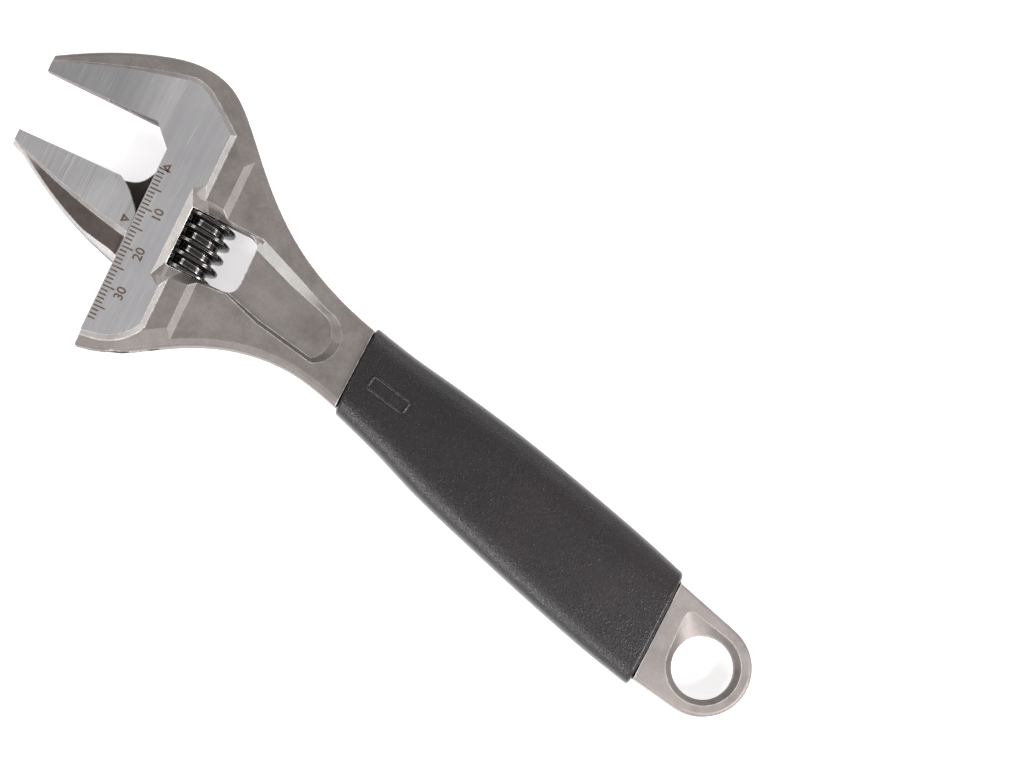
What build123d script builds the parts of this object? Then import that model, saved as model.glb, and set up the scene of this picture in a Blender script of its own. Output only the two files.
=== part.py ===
"""Adjustable wrench with a wide opening, a rack-and-worm movable jaw and a moulded grip.

The origin is the axis of the hang hole at mid thickness. +X runs along the handle
towards the jaws, +Y is the side that the movable jaw opens to, +Z comes out of the scale face.
The head is turned from the handle: 'along' is the direction that the jaws point in, and
'across' is the direction that the movable jaw slides in.
"""
import math
import os

from build123d import *

os.makedirs("parts", exist_ok=True)

# Head
head_angle = 15.6          # degrees from the handle's axis to the jaws
face_half = 6.15           # half thickness over the ground faces
band_half = 5.2            # half thickness at the foot of the ground faces
neck_half = 4.4            # half thickness of the neck
flank_half = 3.9           # half height of the forged flanks
band_run = 4.3             # width over which the forged band falls to the flank
jaw_band_run = 1.5         # the same on the movable jaw
edge_radius = 0.9          # rounding of the forged edges
ground_bevel = 1.2         # width of the bevel around a ground face
bevel_step = 0.08          # from the foot of that bevel down to the forged band
jaw_face = -60.0           # fixed jaw's working face, across
front_edge = 162.4         # face that the movable jaw's heel slides on, along
jaw_end = 195.7            # tips of both jaws, along
taper_start = 165.0        # where the jaws begin to get thinner, along
clear_tip = 230.0          # along, past the tips
clear_rear = 140.0         # along, behind the movable jaw
clear_low = -90.0          # across, past the fixed jaw
clear_high = 20.0          # across, past the belly
tip_half = 2.15            # half thickness of the jaws at their tips
tip_band_half = 1.9        # half thickness of the forged band there
opening = 15.0             # gap between the jaws as modelled
slide_gap = 0.1            # clearance of the movable jaw in its guides

# Rack and worm
pitch = 3.3                # thread pitch, left hand, single start
mesh_radius = 5.5          # radius at which the thread meets the rack's teeth
groove_range = range(-4, 6)    # grooves of the rack, counted from front_crest
worm_axis = 146.4          # along
worm_radius = 6.7
worm_root = 4.4
thread_turns = 7           # length of the thread before the worm's ends are cut
thread_sink = 0.4          # depth of the thread's foot in the hub
thread_foot_half = 1.1     # half widths of the thread at its foot, shoulder and crest
thread_shoulder_half = 0.62
thread_crest_half = 0.3
thread_ease = 0.4          # height of the eased crest
worm_low = -45.0           # ends of the worm, across
worm_high = -31.0
rear_crest = -43.7         # a thread crest on the worm's rear side, across
window_low = -45.5         # window for the worm
window_high = -30.9
window_rear = 133.9
window_front = 150.8
window_corner = 3.2
funnel_rear = 132.9        # rear end of the bevel around the window, along
bore_axis = 153.9          # rack bore, along
bore_radius = 3.7
bore_end = -70.2           # flat blind end of the rack bore, across
rack_low = -55.0           # ends of the rack bar, across
rack_high = -27.0
rack_end_chamfer = 0.8
rack_flat = 150.95         # tips of the rack's teeth, along
slot_half = 1.95           # half width of the front slot
relief_clearance = 0.35    # between the worm's crests and the body
pin_radius = 1.9
pin_head_radius = 2.25
pin_low = -50.0
pin_head_low = -30.7
pin_high = -24.5
pin_clearance = 0.1        # radial, in the worm
pin_fit = 0.05             # radial, in the body
pin_end_gap = 0.5
driver_slot_width = 0.8
driver_slot_depth = 1.0
spring_radius = 2.45       # mean radius of the worm's spring
spring_wire = 0.5          # wire diameter
spring_turns = 5
spring_gap = 0.1           # from each end of the spring to its seat
spring_seat = -41.0        # bottom of the worm's counterbore, across
spring_pocket_radius = 3.0

# Handle
ledge = 144.6              # top of the ledge between the head and the neck, along
ledge_run = 1.7
ledge_rear = 90.0          # along, inside the handle
pocket_depth = 1.3         # of the long pocket in the neck
overrun = 1.5              # by which a slope's cut goes on past its rim, as a multiple of the slope
far = 60.0                 # reach of a cutting shape, past everything it cuts
eye_radius = 11.25
eye_half = 4.25
hole_radius = 7.3
recess_depth = 1.9         # depth at the hole of the teardrop scoop around it
recess_radius = 8.7        # round end of the teardrop
recess_tip_reach = 11.4    # distance of its narrow end's centre from the hole's
recess_tip_angle = -35.4   # direction of that end, in degrees from +X
recess_tip_radius = 1.7
shortest_rim = 5.0         # shortest edge of the eye's rim that is rounded
tang_half = 3.2
grip_half = 6.7
grip_rounding = 3.2
grip_end_rounding = 1.2

# Worked out from the sizes above
heel = front_edge + slide_gap
front_crest = rear_crest - pitch / 2 + pitch    # a thread crest on the worm's front side
lead_slope = pitch / (2 * math.pi * mesh_radius)
tooth_reach = 5.0
tooth_length = 2 * tooth_reach * math.hypot(1, lead_slope)

cos_head = math.cos(math.radians(head_angle))
sin_head = math.sin(math.radians(head_angle))
along_dir = (cos_head, sin_head, 0)
across_dir = (-sin_head, cos_head, 0)
head_plane = Plane(origin=(0, 0, 0), x_dir=along_dir, z_dir=(0, 0, 1))
side_plane = Plane(origin=(0, 0, 0), x_dir=along_dir, z_dir=(sin_head, -cos_head, 0))
jaw_slope = math.degrees(math.atan((face_half - tip_half) / (jaw_end - taper_start)))
bevel_drop = face_half - band_half - bevel_step
gap_middle = jaw_face + opening / 2
working_face = jaw_face + opening    # of the movable jaw, across
pocket_floor = neck_half - pocket_depth
tooth_dir = (-sin_head * lead_slope, cos_head * lead_slope, 1)


def head_point(along, across, height=0.0):
    """Turn head coordinates into handle coordinates."""
    x = along * cos_head - across * sin_head
    y = along * sin_head + across * cos_head
    return (x, y, height)


def cross_plane(along, across):
    """Plane square to the slide direction, with its normal pointing to +across."""
    return Plane(origin=head_point(along, across), x_dir=along_dir, z_dir=across_dir)


def slope_plane(height, slope):
    """Plane on a jaw that starts at taper_start and falls towards the tip."""
    angle = math.radians(slope)
    x_dir = (cos_head * math.cos(angle), sin_head * math.cos(angle), -math.sin(angle))
    normal = (cos_head * math.sin(angle), sin_head * math.sin(angle), math.cos(angle))
    return Plane(origin=head_point(taper_start, 0, height), x_dir=x_dir, z_dir=normal)


def polar_point(centre, radius, degrees):
    """Point at a distance and a direction from a centre."""
    turn = math.radians(degrees)
    return (centre[0] + radius * math.cos(turn), centre[1] + radius * math.sin(turn))


def between(start, end, share):
    """Points that share of the way from those of start to those of end, past them for shares over 1."""
    return [
        (x + share * (end_x - x), y + share * (end_y - y))
        for (x, y), (end_x, end_y) in zip(start, end)
    ]


def on_flank(edge):
    """True for the long edges between the forged flanks and the band above them."""
    return edge.geom_type == GeomType.BSPLINE and 0.5 < (edge @ 0.5).Z < flank_half + 0.05


def on_eye_rim(edge):
    """True for the outer edges of the eye's upper face, but not the one beside the grip."""
    middle = edge @ 0.5
    outside = middle.X < eye_shoulder[0][0] and abs(middle.Y) > 1
    return abs(middle.Z - eye_half) < 0.01 and outside and edge.length > shortest_rim


# Outline of the forging: the fixed jaw's back, the neck and the head's lower side
back_points = [
    head_point(199.0, -62.1),
    head_point(190.8, -66.8),
    head_point(182.4, -70.9),
    head_point(173.7, -74.1),
    head_point(164.3, -76.1),
    head_point(155.7, -74.7),
    head_point(147.9, -68.7),
    head_point(139.1, -59.4),
    (131.0, -11.6),
    (120.2, -9.6),
    (107.6, -9.1),
]
belly_points = [
    (103.0, 10.0),
    (109.0, 10.0),
    (116.2, 10.7),
    (123.5, 12.8),
    (129.9, 15.9),
    (141.6, 25.4),
    (149.7, 33.7),
    (156.6, 38.1),
    (162.0, 40.4),
]
# The blank's outline past the mouth, where everything is cut away later
blank_end = [(214.0, 30.0), (214.0, -4.0)]
# Mouth: working face, throat, front edge, then round the outside
mouth_points = [
    (jaw_end, clear_low),
    (jaw_end, jaw_face),
    (167.25, jaw_face),
    (front_edge, -55.0),
    (front_edge, clear_high),
    (clear_tip, clear_high),
    (clear_tip, clear_low),
]
# Ground face of the head: each rounded corner is the start, middle and end of an arc
face_low_corner = [(163.5, -72.9), (160.2, -72.3), (157.6, -70.9)]
face_rear = (149.3, -64.7)
face_high_corner = [(149.3, -15.6), (153.6, -10.5), (160.0, -8.2)]
face_crease = [(taper_start, -7.2), (taper_start, -72.7)]
# Outer edges of the ground faces on both jaws, measured along the slope from taper_start
fixed_face_edge = [(0.0, -72.7), (13.4, -69.4), (24.7, -65.9), (34.0, -62.5)]
movable_face_edge = [(0.0, -33.1), (10.9, -35.3), (19.8, -37.6), (29.9, -40.8), (35.5, -42.7)]
movable_face_rear = (155.0, -31.1)
# Upper end of the front slot, clear of the movable jaw's web when the jaws are closed
slot_points = [
    (bore_axis, 0.0),
    (bore_axis, bore_end),
    (157.6, -70.8),
    (159.8, -70.0),
    (162.9, -66.6),
    (165.4, -62.6),
    (170.5, -60.8),
    (180.0, -60.8),
    (180.0, 0.0),
]
# Pocket in the neck, at its floor and at its rim: upper side, round end as an arc, lower side
pocket_foot_upper = [(144.0, -6.5), (140.8, -5.5), (129.5, -4.5), (119.0, -4.4)]
pocket_foot_end = [(119.0, -4.4), (113.4, 0.8), (114.6, 5.3)]
pocket_foot_lower = [(114.6, 5.3), (129.5, 6.6), (139.0, 6.5)]
pocket_rim_upper = [(144.2, -7.0), (140.9, -8.3), (128.7, -6.9), (118.8, -5.5)]
pocket_rim_end = [(118.8, -5.5), (111.2, -0.4), (113.9, 6.2)]
pocket_rim_lower = [(113.9, 6.2), (129.4, 7.5), (139.4, 6.9)]
# Bevel around the window, at its foot and on the ground face: it runs out to nothing at the rear
funnel_foot = [
    (148.8, -40.0),
    (146.5, -44.5),
    (ledge, window_low),
    (funnel_rear, window_low),
    (funnel_rear, window_high),
    (ledge, window_high),
    (146.5, -32.0),
    (148.8, -37.5),
]
funnel_rim = [
    (153.1, -49.4),
    (150.7, -51.2),
    (ledge, -49.8),
    (funnel_rear, window_low - slide_gap),
    (funnel_rear, window_high + slide_gap),
    (ledge, -26.9),
    (151.0, -25.5),
    (153.3, -27.2),
]
# Teardrop around the hang hole: the tangents from its round end to its narrow end
recess_tip = polar_point((0, 0), recess_tip_reach, recess_tip_angle)
recess_spread = math.degrees(math.acos((recess_radius - recess_tip_radius) / recess_tip_reach))
tip_side = recess_tip_angle + recess_spread
rim_points = [
    polar_point((0, 0), recess_radius, recess_tip_angle + recess_spread),
    polar_point((0, 0), recess_radius, recess_tip_angle - recess_spread),
    polar_point(recess_tip, recess_tip_radius, recess_tip_angle - recess_spread),
    polar_point(recess_tip, recess_tip_radius, recess_tip_angle + recess_spread),
]
foot_share = 2 * recess_spread / 3
foot_arcs = [
    (tip_side, 360 - 2 * recess_spread),
    (tip_side - 3 * foot_share, foot_share),
    (tip_side - 2 * foot_share, foot_share),
    (tip_side - foot_share, foot_share),
]
# Tang under the grip: front and rear ends of its two sides
tang_points = [(110.0, -6.0), (110.0, 6.8), (6.0, 9.2), (12.0, -8.4)]
# Movable jaw's back, from past the tip to past the heel
jaw_back_points = [
    (199.6, -44.5),
    (193.6, -40.7),
    (186.4, -36.2),
    (179.3, -32.4),
    (172.8, -29.6),
    (166.7, -27.5),
    (156.0, -24.4),
]
jaw_blank_low = [(154.0, -62.0), (202.0, -62.0)]
# Curved end of the movable jaw's full thickness, from the working face to the heel
heel_curve = [(169.3, working_face), (166.4, -42.8), (heel, -38.4)]
# Web between the movable jaw and its rack: its side towards the fixed jaw, and its other end
web_edge = [(171.0, -44.6), (167.2, -44.9), (165.1, -45.9), (162.6, -49.8), (157.5, rack_low)]
web_high = [(heel + 1, rack_high), (171.0, -33.0)]
# Groove of the rack: distances from the worm's axis with half widths, from its bottom to past its mouth
groove_steps = [(6.9, 0.45), (6.1, 0.82), (4.4, 1.2), (3.9, 1.32)]
# What the taper takes off the forged band of both jaws, seen from the side
band_wedge = [
    (taper_start, band_half),
    (jaw_end, tip_band_half),
    (2 * jaw_end - taper_start, 2 * tip_band_half - band_half),
    (2 * jaw_end - taper_start, far),
    (taper_start, far),
]
# Grip: its two sides
grip_upper = [
    (107.4, -10.3),
    (96.5, -10.6),
    (83.9, -11.9),
    (66.7, -13.2),
    (48.9, -13.7),
    (30.8, -13.9),
    (17.5, -13.7),
]
grip_lower = [
    (10.5, 14.4),
    (24.3, 14.8),
    (42.7, 14.6),
    (61.4, 14.1),
    (74.1, 13.5),
    (84.2, 12.4),
    (94.4, 11.4),
    (102.2, 11.2),
]
# Steel next to the grip's rear end
eye_shoulder = [(16.4, -11.45), (10.5, 12.35)]


# --- ground faces: flat over the head, sloping on the fixed jaw -------------------------------
with BuildPart() as head_ground:
    with BuildSketch(head_plane.offset(flank_half)):
        with BuildLine():
            Line(face_crease[1], face_low_corner[0])
            ThreePointArc(*face_low_corner)
            Polyline(face_low_corner[2], face_rear, face_high_corner[0])
            ThreePointArc(*face_high_corner)
            Polyline(face_high_corner[2], *face_crease)
        make_face()
    extrude(amount=face_half - flank_half)
    head_top = head_ground.faces().sort_by(Axis.Z)[-1]
    crease = head_top.edges().filter_by(GeomType.LINE).sort_by(SortBy.LENGTH)[-1]
    chamfer(head_top.edges() - [crease], length=ground_bevel, length2=bevel_drop, reference=head_top)

with BuildPart() as jaw_ground:
    with BuildSketch(slope_plane(face_half, jaw_slope)):
        with BuildLine():
            Spline(*fixed_face_edge)
            Polyline(fixed_face_edge[-1], (fixed_face_edge[-1][0], gap_middle), (0, gap_middle),
                     fixed_face_edge[0])
        make_face()
    extrude(amount=-face_half)
    jaw_top = jaw_ground.faces().sort_by(Axis.Z)[-1]
    outer = jaw_top.edges().filter_by(GeomType.BSPLINE)
    chamfer(outer, length=ground_bevel, length2=bevel_drop, reference=jaw_top)

# --- body: modelled above the middle plane, then mirrored -------------------------------------
with BuildPart() as body:
    # Forged blank, its outline carried on past the mouth, which is cut later
    with BuildSketch() as blank:
        with BuildLine():
            Spline(*back_points)
            Line(back_points[-1], belly_points[0])
            Spline(*belly_points)
            Polyline(belly_points[-1], *blank_end, back_points[0])
        make_face()
    extrude(amount=band_half)
    # The forged band falls towards the outline
    top = body.faces().sort_by(Axis.Z)[-1]
    rim = top.edges().filter_by(GeomType.BSPLINE)
    chamfer(rim, length=band_run, length2=band_half - flank_half, reference=top)
    # Neck, behind a sloping ledge
    with BuildSketch(side_plane):
        with BuildLine():
            Polyline((ledge_rear, neck_half), (ledge - ledge_run, neck_half),
                     (ledge + ledge_run, 2 * band_half - neck_half), (ledge_rear, 2 * band_half), close=True)
        make_face()
    extrude(amount=far * 2, both=True, mode=Mode.SUBTRACT)
    # The jaw gets thinner towards its tip
    with BuildSketch(side_plane):
        with BuildLine():
            Polyline(*band_wedge, close=True)
        make_face()
    extrude(amount=far * 2, both=True, mode=Mode.SUBTRACT)
    fillet(body.edges().filter_by(on_flank), radius=edge_radius)
    add(head_ground.part)
    add(jaw_ground.part)
    # Mouth and tip
    with BuildSketch(head_plane):
        with BuildLine():
            Polyline(*mouth_points, close=True)
        make_face()
    extrude(amount=far, mode=Mode.SUBTRACT)
    # Window for the worm, with a wide bevel on three sides of it
    window_middle = (window_low + window_high) / 2
    window_size = (window_front - window_rear, window_high - window_low)
    with BuildSketch(head_plane):
        with Locations(((window_front + window_rear) / 2, window_middle)):
            RectangleRounded(*window_size, window_corner)
    extrude(amount=far, mode=Mode.SUBTRACT)
    for share in (0, overrun):
        with BuildSketch(head_plane.offset(flank_half + share * (face_half - flank_half))):
            with BuildLine():
                Polyline(*between(funnel_foot, funnel_rim, share), close=True)
            make_face()
    loft(ruled=True, mode=Mode.SUBTRACT)
    # Round relief for the worm where it reaches past the window to the rack
    with BuildSketch(cross_plane(worm_axis, window_low)):
        Circle(worm_radius + relief_clearance)
    extrude(amount=window_high - window_low, mode=Mode.SUBTRACT)
    # Long pocket in the neck, with a wide slope along its upper side and round its end
    for share in (0, overrun):
        with BuildSketch(Plane.XY.offset(pocket_floor + share * pocket_depth)):
            with BuildLine():
                upper = Polyline(*between(pocket_foot_upper, pocket_rim_upper, share))
                ThreePointArc(*between(pocket_foot_end, pocket_rim_end, share))
                lower = Polyline(*between(pocket_foot_lower, pocket_rim_lower, share))
                Line(lower @ 1, upper @ 0)
            make_face()
    loft(ruled=True, mode=Mode.SUBTRACT)
    # Tang and eye
    with BuildSketch():
        with BuildLine():
            Polyline(*tang_points, close=True)
        make_face()
    extrude(amount=tang_half)
    with BuildSketch():
        with BuildLine():
            CenterArc((0, 0), eye_radius, 0, 360)
            Line(*eye_shoulder)
        make_hull()
    extrude(amount=eye_half)
    fillet(body.edges().filter_by(on_eye_rim), radius=edge_radius)
    # Teardrop scoop that falls from its rim to the hole
    with BuildSketch(Plane.XY.offset(eye_half)):
        with BuildLine():
            Line(rim_points[3], rim_points[0])
            CenterArc((0, 0), recess_radius, tip_side, 360 - 2 * recess_spread)
            Line(rim_points[1], rim_points[2])
            CenterArc(recess_tip, recess_tip_radius, tip_side - 2 * recess_spread, 2 * recess_spread)
        make_face()
    with BuildSketch(Plane.XY.offset(eye_half - recess_depth)):
        with BuildLine():
            for start, size in foot_arcs:
                CenterArc((0, 0), hole_radius, start, size)
        make_face()
    loft(ruled=True, mode=Mode.SUBTRACT)
    with BuildSketch():
        Circle(hole_radius)
    extrude(amount=eye_half, mode=Mode.SUBTRACT)
    # Rack bore, and the slot that opens it to the front
    with BuildSketch(cross_plane(bore_axis, 0)):
        Circle(bore_radius)
    extrude(amount=bore_end, mode=Mode.SUBTRACT)
    with BuildSketch(head_plane):
        with BuildLine():
            Polyline(*slot_points, close=True)
        make_face()
    extrude(amount=slot_half, mode=Mode.SUBTRACT)
    # Pin hole: blind above the window, wider below it
    with BuildSketch(cross_plane(worm_axis, pin_low - pin_end_gap)):
        Circle(pin_radius + pin_fit)
    extrude(amount=far, mode=Mode.SUBTRACT)
    with BuildSketch(cross_plane(worm_axis, window_high - slide_gap)):
        Circle(pin_head_radius + pin_fit)
    extrude(amount=far, mode=Mode.SUBTRACT)
    split(bisect_by=Plane.XY)
    add(body.part.mirror(Plane.XY), clean=False)
body.part.label = "body"
export_step(body.part, "parts/body.step")


# --- movable jaw: modelled above the middle plane, then mirrored ------------------------------
with BuildPart() as jaw_flat_ground:
    with BuildSketch(head_plane.offset(flank_half)):
        with BuildLine():
            Polyline((taper_start, movable_face_edge[0][1]), movable_face_rear,
                     (movable_face_rear[0], gap_middle), (taper_start, gap_middle), close=True)
        make_face()
    extrude(amount=face_half - flank_half)
    flat_top = jaw_flat_ground.faces().sort_by(Axis.Z)[-1]
    outer = flat_top.edges().sort_by(Axis(origin=(0, 0, 0), direction=across_dir))[-1]
    chamfer(outer, length=ground_bevel, length2=bevel_drop, reference=flat_top)

with BuildPart() as jaw_slope_ground:
    with BuildSketch(slope_plane(face_half, jaw_slope)):
        with BuildLine():
            Spline(*movable_face_edge)
            Polyline(movable_face_edge[-1], (movable_face_edge[-1][0], gap_middle), (0, gap_middle),
                     movable_face_edge[0])
        make_face()
    extrude(amount=-face_half)
    slope_top = jaw_slope_ground.faces().sort_by(Axis.Z)[-1]
    outer = slope_top.edges().filter_by(GeomType.BSPLINE)
    chamfer(outer, length=ground_bevel, length2=bevel_drop, reference=slope_top)

with BuildPart() as movable_jaw:
    with BuildSketch(head_plane):
        with BuildLine():
            Spline(*jaw_back_points)
            Polyline(jaw_back_points[-1], *jaw_blank_low, jaw_back_points[0])
        make_face()
    extrude(amount=band_half)
    top = movable_jaw.faces().sort_by(Axis.Z)[-1]
    rim = top.edges().filter_by(GeomType.BSPLINE)
    chamfer(rim, length=jaw_band_run, length2=band_half - flank_half, reference=top)
    with BuildSketch(side_plane):
        with BuildLine():
            Polyline(*band_wedge, close=True)
        make_face()
    extrude(amount=far * 2, both=True, mode=Mode.SUBTRACT)
    fillet(movable_jaw.edges().filter_by(on_flank), radius=edge_radius)
    add(jaw_flat_ground.part)
    add(jaw_slope_ground.part)
    # Working face, tip, and the curved end of the full thickness beside the front edge
    with BuildSketch(head_plane):
        with BuildLine():
            Spline(*heel_curve)
            Polyline(heel_curve[-1], (heel, clear_high), (clear_rear, clear_high), (clear_rear, clear_low),
                     (clear_tip, clear_low), (clear_tip, clear_high), (jaw_end, clear_high),
                     (jaw_end, working_face), heel_curve[0])
        make_face()
    extrude(amount=far, mode=Mode.SUBTRACT)
    # Web through the front slot
    with BuildSketch(head_plane):
        with BuildLine():
            Spline(*web_edge)
            Polyline(web_edge[-1], (bore_axis, rack_low), (bore_axis, rack_high), *web_high, web_edge[0])
        make_face()
    extrude(amount=slot_half - slide_gap)
    # Rack: round bar, flat along the tips of its teeth
    rack_shoulder = rack_low + rack_end_chamfer
    with BuildSketch(cross_plane(bore_axis, rack_shoulder)):
        Circle(bore_radius - slide_gap)
    extrude(amount=rack_high - rack_shoulder)
    with BuildSketch(cross_plane(bore_axis, rack_shoulder)):
        Circle(bore_radius - slide_gap)
    extrude(amount=-rack_end_chamfer, taper=45)
    split(bisect_by=Plane.XY)
    mirror(about=Plane.XY)
    with BuildSketch(head_plane.offset(-far / 2)):
        with BuildLine():
            Polyline((clear_rear, clear_low), (rack_flat, clear_low), (rack_flat, clear_high),
                     (clear_rear, clear_high), close=True)
        make_face()
    extrude(amount=far, mode=Mode.SUBTRACT)
    # Grooves between the teeth, slanted to follow the thread
    for index in groove_range:
        shift = front_crest + index * pitch - lead_slope * tooth_reach
        low_side = [(worm_axis + reach, shift - half) for reach, half in groove_steps]
        high_side = [(worm_axis + reach, shift + half) for reach, half in reversed(groove_steps)]
        with BuildSketch(head_plane.offset(-tooth_reach)):
            with BuildLine():
                Polyline(*low_side, *high_side, close=True)
            make_face()
        extrude(amount=tooth_length, dir=tooth_dir, mode=Mode.SUBTRACT)
movable_jaw.part.label = "movable_jaw"
export_step(movable_jaw.part, "parts/movable_jaw.step")

# --- worm: a left-hand thread on a bored hub, with a pocket for the spring --------------------
# The thread's section: a trapezium sunk a little into the hub, with its crest eased at both sides.
thread_side = [
    (worm_root - thread_sink, thread_foot_half),
    (worm_radius - thread_ease, thread_shoulder_half),
    (worm_radius, thread_crest_half),
]
thread_points = thread_side + [(radius, -half) for radius, half in reversed(thread_side)]
with BuildPart() as thread:
    with BuildLine():
        Helix(pitch, thread_turns * pitch, worm_root, lefthand=True)
    with BuildSketch(Plane.XZ):
        with BuildLine():
            Polyline(*thread_points, close=True)
        make_face()
    sweep(is_frenet=True)

with BuildPart() as worm:
    with BuildSketch(cross_plane(worm_axis, worm_low - 3 * pitch)):
        Circle(worm_root)
    extrude(amount=worm_high - worm_low + 6 * pitch)
    with Locations(cross_plane(worm_axis, front_crest - 2 * pitch)):
        add(thread.part)
    with BuildSketch(cross_plane(worm_axis, worm_low)):
        Circle(worm_radius + 1)
    extrude(amount=worm_high - worm_low, mode=Mode.INTERSECT)
    with BuildSketch(cross_plane(worm_axis, worm_low)):
        Circle(pin_radius + pin_clearance)
    extrude(amount=worm_high - worm_low, mode=Mode.SUBTRACT)
    with BuildSketch(cross_plane(worm_axis, worm_low)):
        Circle(spring_pocket_radius)
    extrude(amount=spring_seat - worm_low, mode=Mode.SUBTRACT)
worm.part.label = "worm"
export_step(worm.part, "parts/worm.step")

# --- worm pin: plain shaft with a threaded, slotted head --------------------------------------
with BuildPart() as worm_pin:
    with BuildSketch(cross_plane(worm_axis, pin_low)):
        Circle(pin_radius)
    extrude(amount=pin_head_low - pin_low)
    with BuildSketch(cross_plane(worm_axis, pin_head_low)):
        Circle(pin_head_radius)
    extrude(amount=pin_high - pin_head_low)
    with BuildSketch(cross_plane(worm_axis, pin_high)):
        Rectangle(driver_slot_width, far)
    extrude(amount=-driver_slot_depth, mode=Mode.SUBTRACT)
worm_pin.part.label = "worm_pin"
export_step(worm_pin.part, "parts/worm_pin.step")

# --- worm spring ------------------------------------------------------------------------------
with BuildPart() as coil:
    spring_length = spring_seat - window_low - spring_wire - 2 * spring_gap
    with BuildLine():
        Helix(spring_length / spring_turns, spring_length, spring_radius)
    with BuildSketch(Plane.XZ):
        with Locations((spring_radius, 0)):
            Circle(spring_wire / 2)
    sweep(is_frenet=True)

with BuildPart() as worm_spring:
    with Locations(cross_plane(worm_axis, window_low + spring_gap + spring_wire / 2)):
        add(coil.part)
worm_spring.part.label = "worm_spring"
export_step(worm_spring.part, "parts/worm_spring.step")

# --- grip: moulded sleeve over the tang -------------------------------------------------------
with BuildPart() as grip:
    with BuildSketch(Plane.XY.offset(-grip_half)):
        with BuildLine():
            Spline(*grip_upper)
            Line(grip_upper[-1], grip_lower[0])
            Spline(*grip_lower)
            Line(grip_lower[-1], grip_upper[0])
        make_face()
    extrude(amount=2 * grip_half)
    long_edges = grip.edges().filter_by(GeomType.BSPLINE)
    fillet(long_edges, radius=grip_rounding)
    for end in (0, -1):
        end_face = grip.faces().filter_by(GeomType.PLANE).sort_by(Axis.X)[end]
        fillet(end_face.edges(), radius=grip_end_rounding)
    with BuildSketch(Plane.XY.offset(-tang_half)):
        with BuildLine():
            Polyline(*tang_points, close=True)
        make_face()
    extrude(amount=2 * tang_half, mode=Mode.SUBTRACT)
grip.part.label = "grip"
export_step(grip.part, "parts/grip.step")
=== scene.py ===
"""Looks of an adjustable wrench with a wide opening: forged and ground steel, black worm, moulded grip.

Lengths are metres. The frame's origin is the hang hole, +X runs along the handle to the jaws and +Z
comes out of the scale face. The head is turned from the handle: 'along' is the way the jaws point
and 'across' is the way the movable jaw slides.
"""

import math

import bpy
from mathutils import Matrix, Vector


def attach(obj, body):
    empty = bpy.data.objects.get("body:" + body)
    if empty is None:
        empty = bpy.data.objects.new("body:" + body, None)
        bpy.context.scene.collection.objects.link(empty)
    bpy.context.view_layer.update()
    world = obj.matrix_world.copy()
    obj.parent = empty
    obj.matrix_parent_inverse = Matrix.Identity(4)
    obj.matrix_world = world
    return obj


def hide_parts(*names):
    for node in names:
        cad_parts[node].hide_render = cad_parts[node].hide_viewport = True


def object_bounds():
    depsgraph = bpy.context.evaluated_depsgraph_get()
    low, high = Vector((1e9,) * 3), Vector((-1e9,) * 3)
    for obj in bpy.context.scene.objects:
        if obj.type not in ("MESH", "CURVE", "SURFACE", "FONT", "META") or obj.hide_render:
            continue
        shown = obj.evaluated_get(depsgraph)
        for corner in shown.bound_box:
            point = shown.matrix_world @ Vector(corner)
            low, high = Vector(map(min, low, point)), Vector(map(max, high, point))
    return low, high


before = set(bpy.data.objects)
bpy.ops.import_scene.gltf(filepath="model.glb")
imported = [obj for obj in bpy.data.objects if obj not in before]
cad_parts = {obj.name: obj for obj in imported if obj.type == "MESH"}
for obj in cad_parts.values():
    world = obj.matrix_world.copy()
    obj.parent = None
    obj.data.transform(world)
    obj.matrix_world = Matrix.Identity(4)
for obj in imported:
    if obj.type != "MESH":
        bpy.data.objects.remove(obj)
cad_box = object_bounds()

MM = 0.001

# The head's frame and the levels of its faces, as the CAD part has them
HEAD_ANGLE = math.radians(15.6)
FACE_HALF = 6.15 * MM          # ground faces
BAND_HALF = 5.2 * MM           # forged band beside them
TAPER_START = 165 * MM         # the jaws get thinner from here
JAW_END = 195.7 * MM
TIP_FACE_HALF = 2.15 * MM
TIP_BAND_HALF = 1.9 * MM
LEVEL_FIT = 0.03 * MM          # a flat this close to the face's level belongs to it
BEVEL_LIFT = 0.04 * MM         # a bevel's middle is at least this far over the band
BEVEL_START = 140 * MM         # there are no bevels nearer to the handle, along
FRONT_EDGE = 162.4 * MM        # edge that carries the scale
WEB_HALF = 1.86 * MM           # web between the movable jaw and its rack
WEB_END = 172 * MM             # along
WEB_FRONT = -40 * MM           # the web shows in the throat up to here, across
RACK_FRONT = 158 * MM          # along

# The pocket slope nearer to the fixed jaw, in the row frame: smoother than the rest, and painted brighter as
# a painted highlight
SLOPE_X = (110 * MM, 141 * MM)
SLOPE_Y = (-9 * MM, -1 * MM)

# Z of the surface normal, which tells a flat (1) from a slope and from a wall (0)
GROUND_LEVEL = 0.98            # at least, for a ground face
FLAT_LEVEL = 0.97              # at least, for a forged flat; a bevel has less
BEVEL_LEVEL = 0.3              # at least, for a bevel
RIM_LEVEL = 0.15               # at least, for the movable jaw's rim
SLOPE_LEVELS = (0.5, 0.95)     # of the pocket slope
SLOPE_FACING = 0.2             # its normal's Y is over this

# Scale
SCALE_ZERO = -50.4 * MM        # across
SCALE_STEPS = 38
TICK_WIDTH = 0.37 * MM
TICK_SHORT = 1.7 * MM
TICK_LONG = 2.9 * MM
TICK_INSET = 0.25 * MM         # from the edge
MARK_PROUD = 0.012 * MM        # thickness of a mark over the face
MARK_SUNK = 0.05 * MM
DIGIT_SIZE = 3.1 * MM
DIGIT_BOLD = 0.06 * MM         # added all round a digit's outline
DIGIT_LINE = 157.6 * MM        # middle of the numerals, along
DIGIT_SHIFT = 0.2 * MM         # of a numeral past its tick, across

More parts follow.
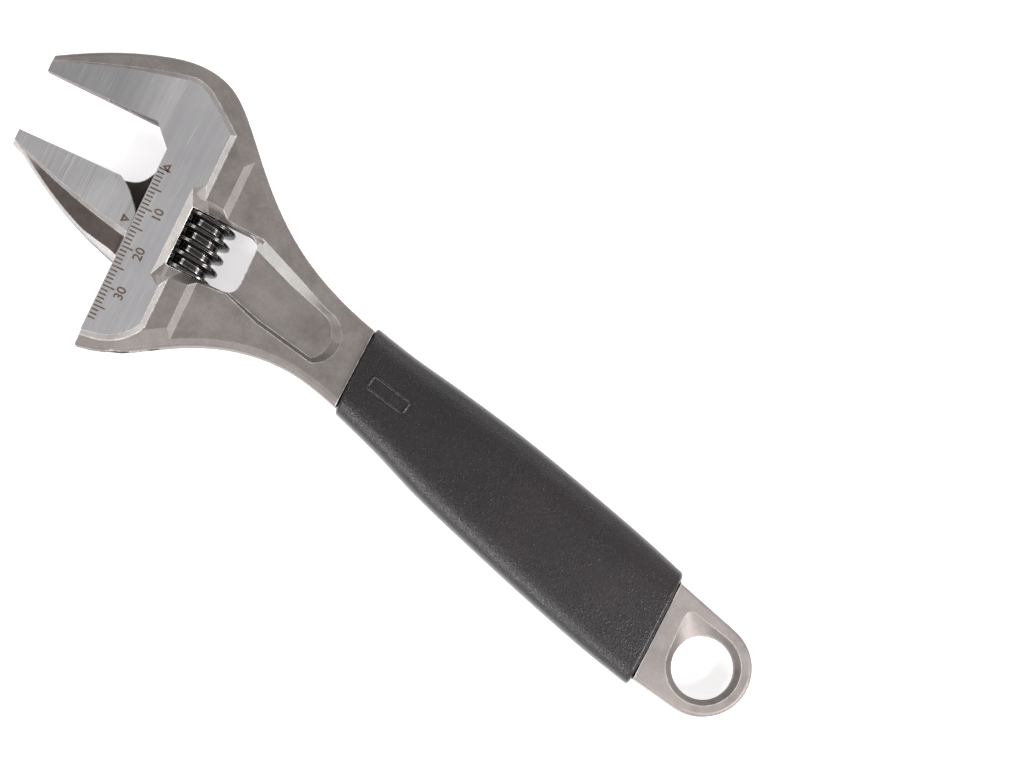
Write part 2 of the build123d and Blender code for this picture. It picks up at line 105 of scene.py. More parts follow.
# Grip, in millimetres: its two sides from the rear end to the front one, as (x, y), and its swell
GRIP_UPPER = [
    (16.8, -13.55),
    (30.8, -13.9),
    (48.9, -13.75),
    (66.7, -13.2),
    (83.9, -11.9),
    (96.5, -10.7),
    (108.0, -10.2),
]
GRIP_LOWER = [
    (10.0, 14.25),
    (25.0, 14.75),
    (42.7, 14.6),
    (61.4, 14.05),
    (76.0, 13.3),
    (89.4, 11.9),
    (102.8, 11.1),
]
GRIP_HEIGHTS = [6.2, 6.5, 6.62, 6.62, 6.5, 6.3, 5.95]   # half thickness at those places
GRIP_END_ROUNDING = 1.4
GRIP_END_STEPS = 8             # rings on each end's rounding
GRIP_LIP = 0.75                # length of the sunk lip between the rounded ends and the steel
GRIP_LIP_DEPTH = 1.7
GRIP_STATIONS = 150            # along the grip
GRIP_RING = 144                # round it
GRIP_SHOULDER = 3.5            # exponent of the section's rounded oblong
FRAME_CENTRE = (95.4, 0.1)     # moulded frame on the grip's top
FRAME_SIZE = (10.2, 3.2)
FRAME_TURN = 4.0               # degrees
FRAME_CORNER = 0.56            # radius of its corners
FRAME_CORNER_STEPS = 6
FRAME_BEAD = 0.5               # radius of the bead that draws it
FRAME_BEAD_SIDES = 8
FRAME_SUNK = 0.2               # depth of the bead's middle under the grip's top


def head_point(along, across, height=0.0):
    """A point of the head, in the row frame."""
    turn = Matrix.Rotation(HEAD_ANGLE, 3, "Z")
    return turn @ Vector((along, across, height))


def to_head(point):
    """(along, across, height) of a point in the row frame."""
    turn = Matrix.Rotation(-HEAD_ANGLE, 3, "Z")
    return turn @ Vector(point)


def mesh_object(name, points, faces, material, smooth=False):
    """A mesh object of one material, linked to the scene."""
    mesh = bpy.data.meshes.new(name)
    mesh.from_pydata(points, [], faces)
    mesh.polygons.foreach_set("use_smooth", [smooth] * len(faces))
    mesh.materials.append(material)
    obj = bpy.data.objects.new(name, mesh)
    bpy.context.scene.collection.objects.link(obj)
    return obj


# --- Shader helpers ---------------------------------------------------------------------------
WEAR_SAMPLES = 6


def new_material(name):
    """A material and its node tree, with the Principled shader ready."""
    material = bpy.data.materials.new(name)
    material.use_nodes = True
    return material, material.node_tree, material.node_tree.nodes["Principled BSDF"]


def add_node(tree, kind, inputs=None, **settings):
    """A node with its settings made and each input linked or set."""
    node = tree.nodes.new(kind)
    for key, value in settings.items():
        setattr(node, key, value)
    for key, value in (inputs or {}).items():
        if isinstance(value, bpy.types.NodeSocket):
            tree.links.new(value, node.inputs[key])
        else:
            node.inputs[key].default_value = value
    return node


def place(tree, scale=(1, 1, 1), turn=0.0):
    """The piece's own coordinates, turned about Z and scaled."""
    coords = add_node(tree, "ShaderNodeTexCoord").outputs["Object"]
    turned = add_node(tree, "ShaderNodeMapping", {"Vector": coords, "Rotation": (0, 0, turn)})
    scaled = add_node(tree, "ShaderNodeMapping", {"Vector": turned.outputs[0], "Scale": scale})
    return scaled.outputs[0]


def noise(tree, vector, scale, detail=4.0, rough=0.55, distortion=0.0):
    inputs = {"Vector": vector, "Scale": scale, "Detail": detail, "Roughness": rough,
              "Distortion": distortion}
    return add_node(tree, "ShaderNodeTexNoise", inputs).outputs["Fac"]


def remap(tree, value, low, high, out_low=0.0, out_high=1.0):
    inputs = {"Value": value, "From Min": low, "From Max": high, "To Min": out_low, "To Max": out_high}
    return add_node(tree, "ShaderNodeMapRange", inputs).outputs["Result"]


def math_node(tree, operation, a, b):
    return add_node(tree, "ShaderNodeMath", {0: a, 1: b}, operation=operation).outputs[0]


def mix_colour(tree, factor, a, b, blend="MIX"):
    node = add_node(tree, "ShaderNodeMix", data_type="RGBA", blend_type=blend)
    for socket, value in zip((node.inputs[0], node.inputs[6], node.inputs[7]), (factor, a, b)):
        if isinstance(value, bpy.types.NodeSocket):
            tree.links.new(value, socket)
        else:
            socket.default_value = value if isinstance(value, float) else (*value, 1.0)
    return node.outputs[2]


def shade(colour, factor):
    return tuple(factor * c for c in colour)


def bump(tree, height, strength, distance, normal=None):
    inputs = {"Height": height, "Strength": strength, "Distance": distance}
    if normal is not None:
        inputs["Normal"] = normal
    return add_node(tree, "ShaderNodeBump", inputs).outputs[0]


def edge_wear_and_highlight(tree, radius, low, high):
    """1 along the sharp edges, 0 on the open faces."""
    rounded = add_node(tree, "ShaderNodeBevel", {"Radius": radius}, samples=WEAR_SAMPLES).outputs[0]
    flat = add_node(tree, "ShaderNodeNewGeometry").outputs["Normal"]
    alike = add_node(tree, "ShaderNodeVectorMath", {0: rounded, 1: flat}, operation="DOT_PRODUCT")
    return remap(tree, alike.outputs["Value"], high, low)


# --- Materials --------------------------------------------------------------------------------
# How fine each pattern is, in features per metre; a set of three has one for each axis
FORGED_GRAIN = 2600
FORGED_CLOUD = 90
FORGED_BLOTCH = 420
FORGED_PITS = 480.0
PIT_PATCHES = 260
RUB_PATCHES = 700
GRINDING_LINES = (7000, 60, 60)
GRINDING_BANDS = (1500, 25, 25)
SCRATCHES = (2600, 110, 60)
GROUND_CLOUD = 70
OXIDE_GRAIN = 1800
TURNING_LINES = (300, 5000, 300)
LEATHER_CELLS = 2800.0
LEATHER_WRINKLE = 2300
GRIP_CLOUD = 60
INK_PATCHES = 2500

SCRATCH_TURN = 0.12                # radians from the grinding
FORGED_EDGE = 0.5 * MM             # radius within which an edge counts as worn
OXIDE_EDGE = 0.6 * MM
# Colours of edges and crests bright from wear, made brighter to serve also as a painted highlight along them
RUBBED_STEEL_AND_EDGE_HIGHLIGHT = (0.92, 0.90, 0.88)
RUBBED_OXIDE_AND_CREST_HIGHLIGHT = (0.62, 0.59, 0.58)
SCRATCHED_STEEL = (0.80, 0.79, 0.78)


def fade_along(tree, colour, fade):
    """The colour multiplied by a tint that comes in between two places along the head: painted light and
    shade by place.
    """
    start, end, tint = fade
    split = add_node(tree, "ShaderNodeSeparateXYZ", {0: place(tree, (1, 1, 1), -HEAD_ANGLE)})
    return mix_colour(tree, remap(tree, split.outputs[0], start, end), colour, tint, "MULTIPLY")


def forged_steel(name, light, dark, shine, fade=None):
    """Blasted and plated forging: warm grey, fine orange-peel grain, a few pits, edges bright from wear and
    lighter still as a painted highlight.
    """
    material, tree, shader = new_material(name)
    grain = noise(tree, place(tree), FORGED_GRAIN, 3.0, 0.6)
    cloud = noise(tree, place(tree), FORGED_CLOUD, 4.0, 0.6)
    blotch = noise(tree, place(tree), FORGED_BLOTCH, 3.0, 0.6)
    pits = add_node(tree, "ShaderNodeTexVoronoi", {"Vector": place(tree), "Scale": FORGED_PITS})
    sparse = remap(tree, noise(tree, place(tree), PIT_PATCHES, 2.0), 0.56, 0.66)
    pit = math_node(tree, "MULTIPLY", remap(tree, pits.outputs["Distance"], 0.22, 0.08), sparse)
    tone = mix_colour(tree, remap(tree, cloud, 0.35, 0.65), dark, light)
    fleck = mix_colour(tree, remap(tree, blotch, 0.35, 0.7, 0.0, 0.35), tone, shade(light, 1.25))
    grained = mix_colour(tree, remap(tree, grain, 0.3, 0.7, 0.25, 0.0), fleck, shade(dark, 0.45))
    # Sharp edges: bright from wear, and partly a painted highlight along them
    worn_and_highlight = edge_wear_and_highlight(tree, FORGED_EDGE, 0.86, 0.99)
    rubbing = remap(tree, noise(tree, place(tree), RUB_PATCHES), 0.3, 0.6, 0.15, 0.8)
    patchy = math_node(tree, "MULTIPLY", worn_and_highlight, rubbing)
    if fade:
        grained = fade_along(tree, grained, fade)
    colour = mix_colour(tree, patchy, grained, RUBBED_STEEL_AND_EDGE_HIGHLIGHT)
    tree.links.new(colour, shader.inputs["Base Color"])
    shader.inputs["Metallic"].default_value = 0.85
    rough = remap(tree, cloud, 0.3, 0.7, shine - 0.05, shine + 0.07)
    tree.links.new(rough, shader.inputs["Roughness"])
    peel = bump(tree, grain, 0.35, 0.02 * MM)
    pitted = bump(tree, pit, -0.5, 0.04 * MM, peel)
    tree.links.new(bump(tree, blotch, 0.3, 0.05 * MM, pitted), shader.inputs["Normal"])
    return material


def ground_steel(name, light, dark, streak, turn, fade=None):
    """Surface-ground steel: fine straight lines, broad streaks and a few deeper scratches."""
    material, tree, shader = new_material(name)
    lines = noise(tree, place(tree, GRINDING_LINES, turn), 1.0, 3.0, 0.7)
    broad = noise(tree, place(tree, GRINDING_BANDS, turn), 1.0, 2.0, 0.5)
    deeper = noise(tree, place(tree, SCRATCHES, turn + SCRATCH_TURN), 1.0, 1.0)
    scratch = remap(tree, deeper, 0.66, 0.74)
    cloud = noise(tree, place(tree), GROUND_CLOUD, 3.0, 0.5)
    tone = mix_colour(tree, remap(tree, cloud, 0.3, 0.7), dark, light)
    lined = mix_colour(tree, remap(tree, lines, 0.3, 0.7, streak, 0.0), tone, shade(dark, 0.55))
    banded = mix_colour(tree, remap(tree, broad, 0.35, 0.65, 0.0, 0.22), lined, shade(light, 1.2))
    colour = mix_colour(tree, math_node(tree, "MULTIPLY", scratch, 0.25), banded, SCRATCHED_STEEL)
    if fade:
        colour = fade_along(tree, colour, fade)
    tree.links.new(colour, shader.inputs["Base Color"])
    shader.inputs["Metallic"].default_value = 0.95
    tree.links.new(remap(tree, lines, 0.3, 0.7, 0.46, 0.34), shader.inputs["Roughness"])
    shader.inputs["Anisotropic"].default_value = 0.4
    tree.links.new(bump(tree, lines, 0.18, 0.01 * MM), shader.inputs["Normal"])
    return material


def black_oxide(name):
    """Turned and oiled black steel: near-black and glossy, its crests grey from rubbing and partly a painted
    highlight.
    """
    material, tree, shader = new_material(name)
    fine = noise(tree, place(tree), OXIDE_GRAIN, 3.0, 0.6)
    worn_and_highlight = edge_wear_and_highlight(tree, OXIDE_EDGE, 0.72, 0.98)
    rubbed_and_highlight = math_node(tree, "MULTIPLY", worn_and_highlight, remap(tree, fine, 0.35, 0.65, 0.35, 0.95))
    # Grey crests: wear, and partly a painted highlight along them
    colour = mix_colour(tree, rubbed_and_highlight, (0.046, 0.042, 0.041), RUBBED_OXIDE_AND_CREST_HIGHLIGHT)
    tree.links.new(colour, shader.inputs["Base Color"])
    shader.inputs["Metallic"].default_value = 0.9
    tree.links.new(remap(tree, fine, 0.3, 0.7, 0.10, 0.22), shader.inputs["Roughness"])
    tree.links.new(bump(tree, fine, 0.22, 0.02 * MM), shader.inputs["Normal"])
    return material


def plain_steel(name, tone, rough):
    """Drawn or turned steel of the small parts, with fine lines round it."""
    material, tree, shader = new_material(name)
    lines = noise(tree, place(tree, TURNING_LINES, -HEAD_ANGLE), 1.0, 2.0)
    colour = mix_colour(tree, remap(tree, lines, 0.3, 0.7), shade(tone, 0.7), tone)
    tree.links.new(colour, shader.inputs["Base Color"])
    shader.inputs["Metallic"].default_value = 0.95
    tree.links.new(remap(tree, lines, 0.3, 0.7, rough, rough + 0.12), shader.inputs["Roughness"])
    return material


def grip_plastic(name):
    """Charcoal thermoplastic with a leather-like moulded grain and a slight sheen."""
    material, tree, shader = new_material(name)
    cells = add_node(tree, "ShaderNodeTexVoronoi", {"Vector": place(tree), "Scale": LEATHER_CELLS})
    wrinkle = noise(tree, place(tree), LEATHER_WRINKLE, 4.0, 0.6, 0.6)
    leather = math_node(tree, "ADD", math_node(tree, "MULTIPLY", cells.outputs["Distance"], 0.7), wrinkle)
    cloud = noise(tree, place(tree), GRIP_CLOUD, 3.0)
    base = mix_colour(tree, remap(tree, cloud, 0.3, 0.7), (0.0040, 0.0034, 0.0042), (0.0110, 0.0068, 0.0072))
    colour = mix_colour(tree, remap(tree, leather, 0.5, 1.2, 0.0, 0.5), base, (0.011, 0.0082, 0.0092))
    tree.links.new(colour, shader.inputs["Base Color"])
    tree.links.new(remap(tree, leather, 0.4, 1.3, 0.36, 0.24), shader.inputs["Roughness"])
    shader.inputs["Specular IOR Level"].default_value = 0.46
    tree.links.new(bump(tree, leather, 0.8, 0.10 * MM), shader.inputs["Normal"])
    return material


def marking_ink(name):
    """Laser-burnt marks: dark brown in patches, with a rough finish."""
    material, tree, shader = new_material(name)
    patch = noise(tree, place(tree), INK_PATCHES, 3.0)
    colour = mix_colour(tree, remap(tree, patch, 0.35, 0.65), (0.032, 0.019, 0.013), (0.10, 0.066, 0.044))
    tree.links.new(colour, shader.inputs["Base Color"])
    shader.inputs["Metallic"].default_value = 0.2
    shader.inputs["Roughness"].default_value = 0.7
    return material


# A last set of three is a fade: where its tint starts, where it is full (along), and the tint. These fades
# are painted light and shade, told at each material below.
# Forged steel, painted lighter towards the eye end of the handle: a painted highlight standing in for more
# light there
FORGED = forged_steel("forged", (0.218, 0.197, 0.186), (0.160, 0.141, 0.133), 0.58,
                      (35 * MM, 22 * MM, (1.32, 1.32, 1.33)))
# Movable jaw's flat band: painted shade, dark over most of its length and lighter towards the tip, for the
# shading of a scooped band
JAW_BAND_PAINTED_SHADE = forged_steel("jaw_band_painted_shade", (0.42, 0.38, 0.36), (0.30, 0.27, 0.25), 0.50,
                        (193.5 * MM, 187 * MM, (0.27, 0.25, 0.245)))
# Movable jaw's rim: a painted highlight, lighter than the forged steel for the bright line along it
JAW_RIM_PAINTED_HIGHLIGHT = forged_steel("jaw_rim_painted_highlight", (0.50, 0.47, 0.46), (0.38, 0.36, 0.35), 0.50)
# Web and rack of the movable jaw: painted shade, dark for the shadow they sit in between the body's cheeks
WEB_PAINTED_SHADE = forged_steel("web_painted_shade", (0.060, 0.053, 0.049), (0.036, 0.031, 0.029), 0.55)
# Bevels over the forged band: a painted highlight, a lighter copy of the forged steel for the bright strips
# where light falls
BEVEL_PAINTED_HIGHLIGHT = forged_steel("bevel", (0.30, 0.280, 0.272), (0.230, 0.214, 0.206), 0.56)
# Pocket slope: a painted highlight, lighter than the forged steel, with painted shade darkening it towards
# the handle
POCKET_SLOPE_PAINTED_LIGHT = forged_steel("pocket_slope_painted_light", (0.31, 0.302, 0.291), (0.25, 0.243, 0.232), 0.52,
                            (126 * MM, 108 * MM, (0.74, 0.70, 0.69)))
# Ground face, painted darker towards the fixed jaw's tip: painted shade for its tapered face catching less
# light
GROUND = ground_steel("face_ground", (0.50, 0.49, 0.50), (0.42, 0.41, 0.42), 0.35, -HEAD_ANGLE,
                      (166 * MM, 178 * MM, (0.66, 0.66, 0.66)))
GROUND_JAW = ground_steel("jaw_ground", (0.54, 0.53, 0.535), (0.43, 0.42, 0.425), 0.75, -HEAD_ANGLE)
WORM_STEEL = black_oxide("worm_black")
PIN_STEEL = plain_steel("pin_steel", (0.20, 0.19, 0.19), 0.34)
SPRING_STEEL = plain_steel("spring_steel", (0.32, 0.31, 0.30), 0.3)
GRIP = grip_plastic("grip_black")
INK = marking_ink("scale_brown")


# --- CAD pieces: a material for each kind of surface -------------------------------------------
def levels(along):
    """Heights of the ground face and of the forged band at a place along the head."""
    share = min(max((along - TAPER_START) / (JAW_END - TAPER_START), 0.0), 1.0)
    face = FACE_HALF + share * (TIP_FACE_HALF - FACE_HALF)
    band = BAND_HALF + share * (TIP_BAND_HALF - BAND_HALF)
    return face, band


def surface_kind(centre, normal):
    """0 for forged, 1 for ground, 2 for a bevel that rises over the forged band."""
    along, across, height = to_head(centre)
    face, band = levels(along)
    if abs(abs(height) - face) < LEVEL_FIT and abs(normal.z) > GROUND_LEVEL:
        return 1
    leans = BEVEL_LEVEL < abs(normal.z) < FLAT_LEVEL
    if abs(height) > band + BEVEL_LIFT and leans and along > BEVEL_START:
        return 2
    return 0


def body_kind(centre, normal):
    """The same for the body, with 3 for the slope of the neck's pocket, which gets a painted highlight."""
    inside = SLOPE_X[0] < centre.x < SLOPE_X[1] and SLOPE_Y[0] < centre.y < SLOPE_Y[1]
    if inside and normal.y > SLOPE_FACING and SLOPE_LEVELS[0] < abs(normal.z) < SLOPE_LEVELS[1]:
        return 3
    return surface_kind(centre, normal)


def jaw_kind(centre, normal):
    """The same for the movable jaw, with 3 for its flat band (painted shade), 4 for its web and rack
    (painted shade) and 5 for its rim (painted highlight).
    """
    along, across, height = to_head(centre)
    kind = surface_kind(centre, normal)
    in_throat = along < WEB_END and across < WEB_FRONT and abs(height) < WEB_HALF
    if kind == 0 and (along < RACK_FRONT or in_throat):
        return 4
    if kind == 0 and abs(normal.z) > FLAT_LEVEL:
        return 3
    if kind == 0 and abs(normal.z) > RIM_LEVEL:
        return 5
    return kind


def give_materials(node, materials, kind):
    """Puts the materials in the CAD piece's slots, one for each kind of surface."""
    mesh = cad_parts[node].data
    mesh.materials.clear()
    for material in materials:
        mesh.materials.append(material)
    for face in mesh.polygons:
        face.material_index = kind(face.center, face.normal)


give_materials("body", [FORGED, GROUND, BEVEL_PAINTED_HIGHLIGHT, POCKET_SLOPE_PAINTED_LIGHT], body_kind)
give_materials("movable_jaw", [FORGED, GROUND_JAW, BEVEL_PAINTED_HIGHLIGHT, JAW_BAND_PAINTED_SHADE, WEB_PAINTED_SHADE, JAW_RIM_PAINTED_HIGHLIGHT], jaw_kind)
for part, steel in (("worm", WORM_STEEL), ("worm_pin", PIN_STEEL), ("worm_spring", SPRING_STEEL)):
    give_materials(part, [steel], lambda centre, normal: 0)


# --- Grip -------------------------------------------------------------------------------------
def curve_through(values, count):
    """A smooth row of values through evenly spaced ones (Catmull-Rom)."""
    row = []
    spans = len(values) - 1
    for i in range(count + 1):
        place_on = i / count * spans
        k = min(int(place_on), spans - 1)
        t = place_on - k
        before = values[max(k - 1, 0)]
        here = values[k]
        there = values[k + 1]
        after = values[min(k + 2, spans)]
        slope_in = (there - before) / 2
        slope_out = (after - here) / 2
        row.append((2 * t ** 3 - 3 * t ** 2 + 1) * here + (t ** 3 - 2 * t ** 2 + t) * slope_in
                   + (3 * t ** 2 - 2 * t ** 3) * there + (t ** 3 - t ** 2) * slope_out)
    return row


def signed_power(value, power):
    return math.copysign(abs(value) ** power, value)


def grip_sections():
    """Centre, half width vector and half height at each station, in millimetres."""
    upper = [curve_through([p[i] for p in GRIP_UPPER], GRIP_STATIONS) for i in (0, 1)]
    lower = [curve_through([p[i] for p in GRIP_LOWER], GRIP_STATIONS) for i in (0, 1)]
    heights = curve_through(GRIP_HEIGHTS, GRIP_STATIONS)
    return [
        ((Vector((xu, yu)) + Vector((xl, yl))) / 2, (Vector((xl, yl)) - Vector((xu, yu))) / 2, height)
        for xu, yu, xl, yl, height in zip(*upper, *lower, heights)
    ]


def grip_ring(centre, across, height, inset):
    """One ring of the grip's skin: a rounded oblong, smaller all round by the inset."""
    width = across.length
    points = []
    for i in range(GRIP_RING):
        turn = 2 * math.pi * i / GRIP_RING
        side = signed_power(math.cos(turn), 2 / GRIP_SHOULDER) * (width - inset)
        rise = signed_power(math.sin(turn), 2 / GRIP_SHOULDER) * (height - inset)
        flat = centre + across.normalized() * side
        points.append(Vector((flat.x, flat.y, rise)) * MM)
    return points


def grip_end_steps():
    """Distance from an end and inset of each ring there: the sunk lip, then the rounding."""
    steps = [(0.0, GRIP_LIP_DEPTH), (GRIP_LIP, GRIP_LIP_DEPTH)]
    for step in range(GRIP_END_STEPS + 1):
        turn = step * math.pi / (2 * GRIP_END_STEPS)
        steps.append((GRIP_LIP + (1 - math.cos(turn)) * GRIP_END_ROUNDING,
                      (1 - math.sin(turn)) * GRIP_END_ROUNDING))
    return steps


def grip_rings():
    """The rings of the skin, from the rear lip to the front one."""
    sections = grip_sections()
    length = (sections[-1][0] - sections[0][0]).length
    rear = grip_end_steps()
    skip = math.ceil((GRIP_LIP + GRIP_END_ROUNDING) / length * GRIP_STATIONS)
    middle = [(length * i / GRIP_STATIONS, 0.0) for i in range(skip, GRIP_STATIONS - skip + 1)]
    front = [(length - where, inset) for where, inset in reversed(rear)]
    rings = []
    for where, inset in rear + middle + front:
        share = where / length * GRIP_STATIONS
        k = min(int(share), GRIP_STATIONS - 1)
        t = share - k
        centre, across, height = (a.lerp(b, t) if isinstance(a, Vector) else a + (b - a) * t
                                  for a, b in zip(sections[k], sections[k + 1]))
        rings.append(grip_ring(centre, across, height, inset))
    return rings


def grip_skin():
    """The grip as one closed skin with a sunk lip and a rounding at both ends."""
    rings = grip_rings()
    points = [p for ring in rings for p in ring]
    faces = []
    for r in range(len(rings) - 1):
        for i in range(GRIP_RING):
            j = (i + 1) % GRIP_RING
            a = r * GRIP_RING
            faces.append((a + i, a + j, a + GRIP_RING + j, a + GRIP_RING + i))
    for ring, flip in ((0, True), (len(rings) - 1, False)):
        middle = len(points)
        points.append(sum(rings[ring], Vector()) / GRIP_RING)
        for i in range(GRIP_RING):
            j = (i + 1) % GRIP_RING
            a = ring * GRIP_RING
            faces.append((a + j, a + i, middle) if flip else (a + i, a + j, middle))
    obj = mesh_object("grip_skin", points, faces, GRIP, smooth=True)
    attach(obj, "frame")
    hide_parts("grip")


def moulded_frame():
    """A thin raised frame on the grip's top, with rounded corners."""
    sections = grip_sections()
    half_x, half_y = FRAME_SIZE[0] / 2, FRAME_SIZE[1] / 2
    path = []
    for start, side_x, side_y in ((0, 1, 1), (90, -1, 1), (180, -1, -1), (270, 1, -1)):
        middle = Vector((side_x * (half_x - FRAME_CORNER), side_y * (half_y - FRAME_CORNER)))
        for step in range(FRAME_CORNER_STEPS + 1):
            turn = math.radians(start + 90 * step / FRAME_CORNER_STEPS)
            path.append((middle + FRAME_CORNER * Vector((math.cos(turn), math.sin(turn))), turn))
    points = []
    tilt = Matrix.Rotation(math.radians(FRAME_TURN), 2)
    for spot, turn in path:
        for i in range(FRAME_BEAD_SIDES):
            around = 2 * math.pi * i / FRAME_BEAD_SIDES
            out = spot + FRAME_BEAD * math.cos(around) * Vector((math.cos(turn), math.sin(turn)))
            flat = Vector(FRAME_CENTRE) + tilt @ out
            nearest = min(sections, key=lambda section: abs(section[0].x - flat.x))
            height = nearest[2] - FRAME_SUNK + FRAME_BEAD * math.sin(around)
            points.append(Vector((flat.x, flat.y, height)) * MM)
    faces = []
    for k in range(len(path)):
        a = k * FRAME_BEAD_SIDES
        b = (k + 1) % len(path) * FRAME_BEAD_SIDES
        for i in range(FRAME_BEAD_SIDES):
            j = (i + 1) % FRAME_BEAD_SIDES
            faces.append((a + i, b + i, b + j, a + j))
    obj = mesh_object("grip_frame", points, faces, GRIP, smooth=True)
    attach(obj, "frame")


grip_skin()
moulded_frame()


# --- Scale marks --------------------------------------------------------------------------------
def prism(outline, bottom, top):
    """Vertices and faces of an upright prism on an outline given in the row frame's X and Y."""
    count = len(outline)
    points = [(x, y, z) for z in (bottom, top) for x, y in outline]
    sides = [(i, (i + 1) % count, count + (i + 1) % count, count + i) for i in range(count)]
    return points, [tuple(reversed(range(count))), tuple(range(count, 2 * count)), *sides]


def marks_object(name, prisms, body):
    """One mesh of several prisms, riding on a body."""
    points, faces = [], []
    for some_points, some_faces in prisms:
        start = len(points)
        points += some_points
        faces += [tuple(start + i for i in face) for face in some_faces]
    obj = mesh_object(name, points, faces, INK)
    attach(obj, body)


def head_outline(corners):
    """A list of (along, across) as (x, y) of the row frame."""
    return [tuple(head_point(along, across))[:2] for along, across in corners]


def mark(corners):
    """A thin plate on the ground face, from its outline as (along, across)."""
    return prism(head_outline(corners), FACE_HALF - MARK_SUNK, FACE_HALF + MARK_PROUD)


def tick(step):
    """One line of the scale, a little longer at each five."""
    across = SCALE_ZERO + step * MM
    outer = FRONT_EDGE - TICK_INSET
    inner = outer - (TICK_LONG if step % 5 == 0 else TICK_SHORT)
    half = TICK_WIDTH / 2
    low, high = across - half, across + half
    return mark([(inner, low), (outer, low), (outer, high), (inner, high)])


def triangle_outline(corners, hollow):
    """Three strips that draw a triangle, hollow for that share of its size."""
    strips = []
    centre = (sum(p[0] for p in corners) / 3, sum(p[1] for p in corners) / 3)
    inner = [tuple(c + (p[i] - c) * hollow for i, c in enumerate(centre)) for p in corners]
    for i in range(3):
        j = (i + 1) % 3
        strips.append(mark([corners[i], corners[j], inner[j], inner[i]]))
    return strips


def numeral(text, along, across):
    """A numeral of the scale, its top towards the scale's edge."""
    curve = bpy.data.curves.new("numeral_" + text, "FONT")
    curve.body = text
    curve.size = DIGIT_SIZE
    curve.offset = DIGIT_BOLD
    curve.align_x = "CENTER"
    curve.align_y = "CENTER"
    curve.extrude = (MARK_SUNK + MARK_PROUD) / 2
    curve.resolution_u = 4
    shape = bpy.data.objects.new("numeral_" + text, curve)
    bpy.context.scene.collection.objects.link(shape)
    bpy.context.view_layer.update()
    mesh = bpy.data.meshes.new_from_object(shape)
    bpy.data.objects.remove(shape)
    middle = FACE_HALF + (MARK_PROUD - MARK_SUNK) / 2
    turn = Matrix.Rotation(HEAD_ANGLE - math.pi / 2, 4, "Z")
    mesh.transform(Matrix.Translation(head_point(along, across, middle)) @ turn)
    mesh.materials.clear()
    mesh.materials.append(INK)
    piece = bpy.data.objects.new("numeral_" + text, mesh)
    bpy.context.scene.collection.objects.link(piece)
    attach(piece, "frame")


marks_object("scale_ticks", [tick(step) for step in range(SCALE_STEPS + 1)], "frame")
zero_mark = [(161.6 * MM, -51.1 * MM), (159.8 * MM, -50.0 * MM), (159.8 * MM, -52.2 * MM)]
marks_object("zero_triangle", triangle_outline(zero_mark, 0.3), "frame")
index_mark = [(162.9 * MM, -36.4 * MM), (165.0 * MM, -37.3 * MM), (165.0 * MM, -35.2 * MM)]
marks_object("index_triangle", triangle_outline(index_mark, 0.22), "jaw")
for tens in (1, 2, 3):
    numeral(str(10 * tens), DIGIT_LINE, SCALE_ZERO + 10 * tens * MM + DIGIT_SHIFT)


# --- Studio: floor, light and camera -----------------------------------------------------------
FLOOR_REACH = 1.6                        # from the frame's origin to each side
FLOOR_GAP = 0.02 * MM                    # under the wrench
RIGHT = Vector((-0.7547, -0.6561, 0))    # the picture's right and up, in the row frame
UP = Vector((0.6561, -0.7547, 0))
TILT = math.radians(4.5)                 # the camera leans towards the picture's lower edge
BACK = -math.sin(TILT) * UP + math.cos(TILT) * Vector((0, 0, 1))
TARGET = Vector((97.8 * MM, -1.1 * MM, 6.2 * MM))
CAMERA_DISTANCE = 1.080
LENS = 165.4                             # focal length and sensor width in millimetres
SENSOR = 36
SHIFT = 0.125                            # share of the picture's width


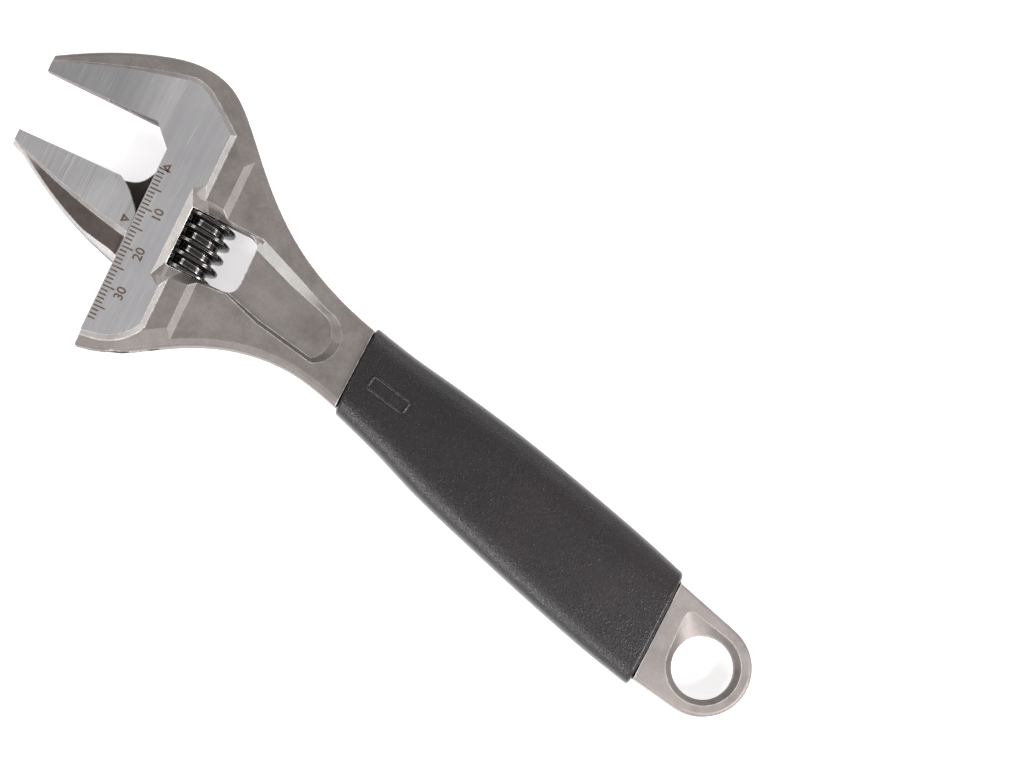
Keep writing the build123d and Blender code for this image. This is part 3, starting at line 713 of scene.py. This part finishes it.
def studio_floor():
    """A plain white sheet under the wrench, glowing a little so that it stays white."""
    material, tree, shader = new_material("floor_white")
    shader.inputs["Base Color"].default_value = (0.88, 0.87, 0.88, 1)
    shader.inputs["Roughness"].default_value = 0.9
    shader.inputs["Emission Color"].default_value = (1.0, 0.99, 1.0, 1)
    shader.inputs["Emission Strength"].default_value = 0.56
    shader.inputs["Specular IOR Level"].default_value = 0.1
    z = cad_box[0].z - FLOOR_GAP
    corners = [(x * FLOOR_REACH, y * FLOOR_REACH, z) for x, y in ((-1, -1), (1, -1), (1, 1), (-1, 1))]
    floor = mesh_object("floor", corners, [(0, 1, 2, 3)], material)


def softbox(name, right, up, height, size, power):
    """An area light placed from the camera's target and aimed at it."""
    light = bpy.data.lights.new(name, "AREA")
    light.shape = "RECTANGLE"
    light.size, light.size_y = size
    light.energy = power
    lamp = bpy.data.objects.new(name, light)
    lamp.location = TARGET + right * RIGHT + up * UP + Vector((0, 0, height))
    lamp.rotation_mode = "QUATERNION"
    lamp.rotation_quaternion = (lamp.location - TARGET).to_track_quat("Z", "Y")
    bpy.context.scene.collection.objects.link(lamp)


def studio_light():
    """An even white surround and soft boxes on all sides."""
    world = bpy.data.worlds.new("studio")
    world.use_nodes = True
    background = world.node_tree.nodes["Background"]
    background.inputs["Color"].default_value = (1.0, 1.0, 1.0, 1)
    background.inputs["Strength"].default_value = 0.60
    bpy.context.scene.world = world
    softbox("key_light", -0.50, -0.50, 0.50, (0.26, 0.26), 4.3)
    softbox("eye_light", 0.35, -0.42, 0.58, (0.25, 0.25), 5.2)
    softbox("side_light", 0.55, -0.30, 0.42, (0.22, 0.22), 2.6)
    softbox("left_light", -0.55, 0.25, 0.42, (0.2, 0.2), 0.9)
    softbox("back_light", 0.35, 0.70, 0.50, (0.6, 0.4), 2.0)
    bpy.context.scene.view_settings.view_transform = "Standard"


def studio_camera():
    """A long lens over the wrench, leaning a little."""
    data = bpy.data.cameras.new("camera")
    data.sensor_width = SENSOR
    data.lens = LENS
    data.shift_x = SHIFT
    camera = bpy.data.objects.new("camera", data)
    axes = Matrix((RIGHT, BACK.cross(RIGHT), BACK)).transposed().to_4x4()
    camera.matrix_world = Matrix.Translation(TARGET + CAMERA_DISTANCE * BACK) @ axes
    data.clip_start = 0.01
    data.clip_end = 20
    bpy.context.scene.collection.objects.link(camera)
    bpy.context.scene.camera = camera


studio_floor()
studio_light()
studio_camera()
